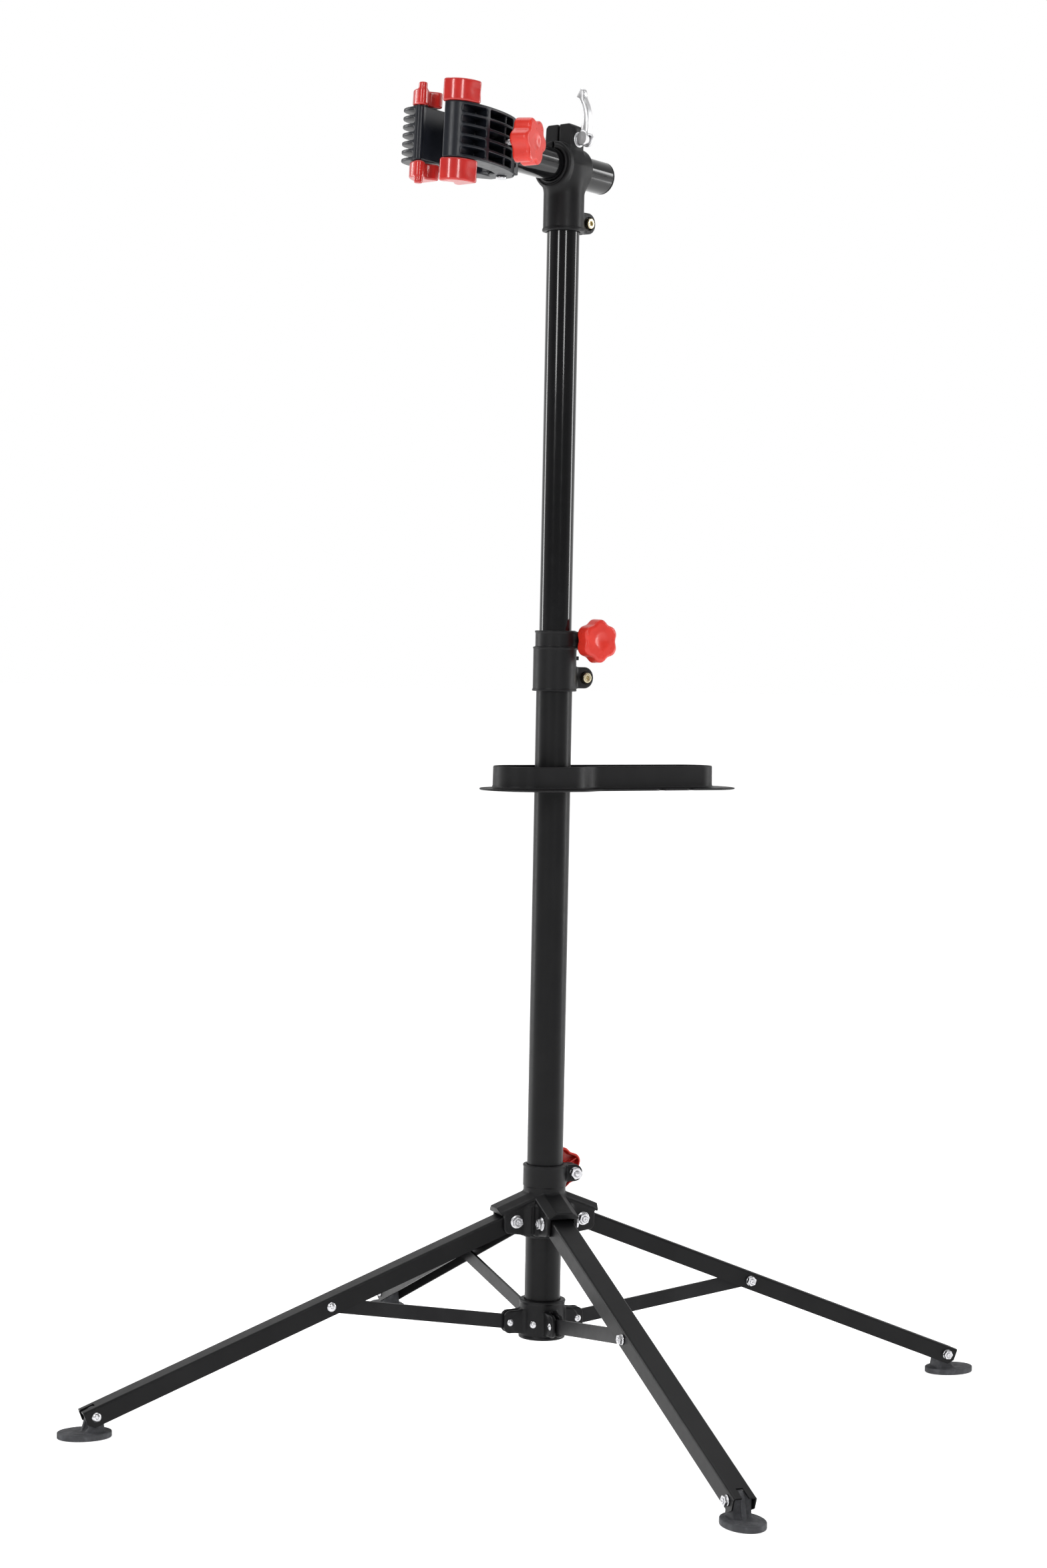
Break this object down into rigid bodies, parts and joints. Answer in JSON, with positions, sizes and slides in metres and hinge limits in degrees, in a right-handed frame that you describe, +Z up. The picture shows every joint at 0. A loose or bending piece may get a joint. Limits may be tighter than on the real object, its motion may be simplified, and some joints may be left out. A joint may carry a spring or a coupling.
{
  "type": "bike repair stand",
  "caption": "Folding four-legged bicycle repair stand: telescoping mast, tool tray, and a turning arm with a padded screw clamp.",
  "frame": {"origin": "on the floor, under the middle of the mast", "axes": "+Z up along the mast; the four legs lie along +X, +Y, -X and -Y"},
  "size_m": [1.046, 1.046, 1.3875],
  "materials": {
    "satin_black_paint": "satin powder coat",
    "gloss_black_paint": "gloss enamel",
    "black_plastic": "fine-grained moulded nylon",
    "red_plastic": "glossy moulded plastic",
    "red_rubber": "smooth elastomer",
    "grey_rubber": "matt moulded rubber",
    "zinc_steel": "bright zinc plate",
    "polished_alloy": "polished"
  },
  "bodies": {
    "mast": {"lower_tube": "satin_black_paint", "lower_hub": "black_plastic", "lower_hub_screw": "zinc_steel", "mid_collar": "black_plastic", "collar_pinch_bolt": "zinc_steel", "hub_rivet_right_a": "zinc_steel", "hub_rivet_right_b": "zinc_steel", "hub_rivet_back_a": "zinc_steel", "hub_rivet_back_b": "zinc_steel", "hub_rivet_left_a": "zinc_steel", "hub_rivet_left_b": "zinc_steel", "hub_rivet_front_a": "zinc_steel", "hub_rivet_front_b": "zinc_steel"},
    "tray": {"tray": "black_plastic", "tray_clamp_screw": "black_plastic"},
    "crown": {"crown": "black_plastic", "crown_clamp_nut": "zinc_steel", "leg_pivot_bolt_right": "zinc_steel", "leg_pivot_bolt_back": "zinc_steel", "leg_pivot_bolt_left": "zinc_steel", "leg_pivot_bolt_front": "zinc_steel"},
    "crown_knob": {"crown_knob": "red_plastic"},
    "upper_mast": {"upper_tube": "gloss_black_paint"},
    "collar_knob": {"collar_knob": "red_plastic"},
    "head": {"head_bracket": "black_plastic", "head_pinch_bolt": "zinc_steel", "skewer": "polished_alloy"},
    "lever": {"clamp_lever": "polished_alloy"},
    "arm": {"arm_tube": "gloss_black_paint", "arm_end_cap": "black_plastic"},
    "clamp": {"fixed_jaw": "black_plastic", "fixed_jaw_pad_top": "red_rubber", "fixed_jaw_pad_bottom": "red_rubber", "jaw_hinge_pin": "zinc_steel"},
    "moving_jaw": {"moving_jaw": "black_plastic", "moving_jaw_pad_top": "red_rubber", "moving_jaw_pad_bottom": "red_rubber", "jaw_nut": "zinc_steel"},
    "jaw_screw": {"jaw_knob": "red_plastic", "jaw_screw": "zinc_steel"},
    "leg_right": {"leg_right": "satin_black_paint", "brace_bolt_right": "zinc_steel", "foot_bolt_right": "zinc_steel"},
    "brace_right": {"brace_right": "satin_black_paint"},
    "foot_right": {"foot_right": "grey_rubber"},
    "leg_back": {"leg_back": "satin_black_paint", "brace_bolt_back": "zinc_steel", "foot_bolt_back": "zinc_steel"},
    "brace_back": {"brace_back": "satin_black_paint"},
    "foot_back": {"foot_back": "grey_rubber"},
    "leg_left": {"leg_left": "satin_black_paint", "brace_bolt_left": "zinc_steel", "foot_bolt_left": "zinc_steel"},
    "brace_left": {"brace_left": "satin_black_paint"},
    "foot_left": {"foot_left": "grey_rubber"},
    "leg_front": {"leg_front": "satin_black_paint", "brace_bolt_front": "zinc_steel", "foot_bolt_front": "zinc_steel"},
    "brace_front": {"brace_front": "satin_black_paint"},
    "foot_front": {"foot_front": "grey_rubber"}
  },
  "joints": [
    {"name": "crown_slide", "type": "slide", "parent": "mast", "child": "crown", "axis": [0, 0, 1], "range_m": [0, 0.31038]},
    {"name": "leg_fold_right", "type": "hinge", "parent": "crown", "child": "leg_right", "pos_m": [0.0378, 0, 0.1987], "axis": [0, 1, 0], "range_deg": [-0.5, 65.5]},
    {"name": "brace_fold_right", "type": "hinge", "parent": "leg_right", "child": "brace_right", "pos_m": [0.23961, 0, 0.11921], "axis": [0, 1, 0], "range_deg": [-143.52, 0.5]},
    {"name": "foot_tilt_right", "type": "hinge", "parent": "leg_right", "child": "foot_right", "pos_m": [0.4857, 0, 0.02227], "axis": [0, 1, 0], "range_deg": [-68, 30]},
    {"name": "leg_fold_back", "type": "hinge", "parent": "crown", "child": "leg_back", "pos_m": [0, 0.0378, 0.1987], "axis": [-1, 0, 0], "range_deg": [-0.5, 65.5]},
    {"name": "brace_fold_back", "type": "hinge", "parent": "leg_back", "child": "brace_back", "pos_m": [0, 0.23961, 0.11921], "axis": [-1, 0, 0], "range_deg": [-143.52, 0.5]},
    {"name": "foot_tilt_back", "type": "hinge", "parent": "leg_back", "child": "foot_back", "pos_m": [0, 0.4857, 0.02227], "axis": [-1, 0, 0], "range_deg": [-68, 30]},
    {"name": "leg_fold_left", "type": "hinge", "parent": "crown", "child": "leg_left", "pos_m": [-0.0378, 0, 0.1987], "axis": [0, -1, 0], "range_deg": [-0.5, 65.5]},
    {"name": "brace_fold_left", "type": "hinge", "parent": "leg_left", "child": "brace_left", "pos_m": [-0.23961, 0, 0.11921], "axis": [0, -1, 0], "range_deg": [-143.52, 0.5]},
    {"name": "foot_tilt_left", "type": "hinge", "parent": "leg_left", "child": "foot_left", "pos_m": [-0.4857, 0, 0.02227], "axis": [0, -1, 0], "range_deg": [-68, 30]},
    {"name": "leg_fold_front", "type": "hinge", "parent": "crown", "child": "leg_front", "pos_m": [0, -0.0378, 0.1987], "axis": [1, 0, 0], "range_deg": [-0.5, 65.5]},
    {"name": "brace_fold_front", "type": "hinge", "parent": "leg_front", "child": "brace_front", "pos_m": [0, -0.23961, 0.11921], "axis": [1, 0, 0], "range_deg": [-143.52, 0.5]},
    {"name": "foot_tilt_front", "type": "hinge", "parent": "leg_front", "child": "foot_front", "pos_m": [0, -0.4857, 0.02227], "axis": [1, 0, 0], "range_deg": [-68, 30]},
    {"name": "crown_knob_turn", "type": "hinge", "parent": "crown", "child": "crown_knob", "pos_m": [0.031, 0, 0.246], "axis": [0, 1, 0], "continuous": true},
    {"name": "tray_swivel", "type": "hinge", "parent": "mast", "child": "tray", "pos_m": [0, 0, 0.653], "axis": [0, 0, 1], "continuous": true},
    {"name": "mast_telescope", "type": "slide", "parent": "mast", "child": "upper_mast", "axis": [0, 0, 1], "range_m": [-0.4, 0.1]},
    {"name": "collar_knob_turn", "type": "hinge", "parent": "mast", "child": "collar_knob", "pos_m": [0.03274, 0.00917, 0.811], "axis": [0.2698, -0.9629, 0], "continuous": true},
    {"name": "head_swivel", "type": "hinge", "parent": "upper_mast", "child": "head", "pos_m": [0, 0, 1.25], "axis": [0, 0, 1], "continuous": true},
    {"name": "lever_cam", "type": "hinge", "parent": "head", "child": "lever", "pos_m": [0.01317, -0.02247, 1.33336], "axis": [0.8886, 0.4557, -0.0523], "range_deg": [0, 160]},
    {"name": "arm_slide", "type": "slide", "parent": "head", "child": "arm", "axis": [-0.8886, -0.4557, 0.0523], "range_m": [-0.045, 0.035]},
    {"name": "clamp_rotate", "type": "hinge", "parent": "arm", "child": "clamp", "pos_m": [-0.0782, -0.0401, 1.31001], "axis": [-0.8886, -0.4557, 0.0523], "continuous": true},
    {"name": "jaw_knob_turn", "type": "hinge", "parent": "moving_jaw", "child": "jaw_screw", "pos_m": [-0.08921, -0.09632, 1.31186], "axis": [0.6772, -0.7357, -0.014], "range_deg": [-963.8, 889.7]},
    {"name": "jaw_open", "type": "hinge", "parent": "clamp", "child": "moving_jaw", "pos_m": [-0.09013, -0.05184, 1.31084], "axis": [0.0466, 0.0239, 0.9986], "range_deg": [-13.1, 12.1]}
  ],
  "couplings": [
    {"joint": "leg_fold_right", "follows": "crown_slide", "rad_per_m": 3.655},
    {"joint": "brace_fold_right", "follows": "crown_slide", "rad_per_m": -8.042},
    {"joint": "leg_fold_back", "follows": "crown_slide", "rad_per_m": 3.655},
    {"joint": "brace_fold_back", "follows": "crown_slide", "rad_per_m": -8.042},
    {"joint": "leg_fold_left", "follows": "crown_slide", "rad_per_m": 3.655},
    {"joint": "brace_fold_left", "follows": "crown_slide", "rad_per_m": -8.042},
    {"joint": "leg_fold_front", "follows": "crown_slide", "rad_per_m": 3.655},
    {"joint": "brace_fold_front", "follows": "crown_slide", "rad_per_m": -8.042},
    {"joint": "jaw_open", "follows": "jaw_knob_turn", "ratio": 0.013488}
  ]
}
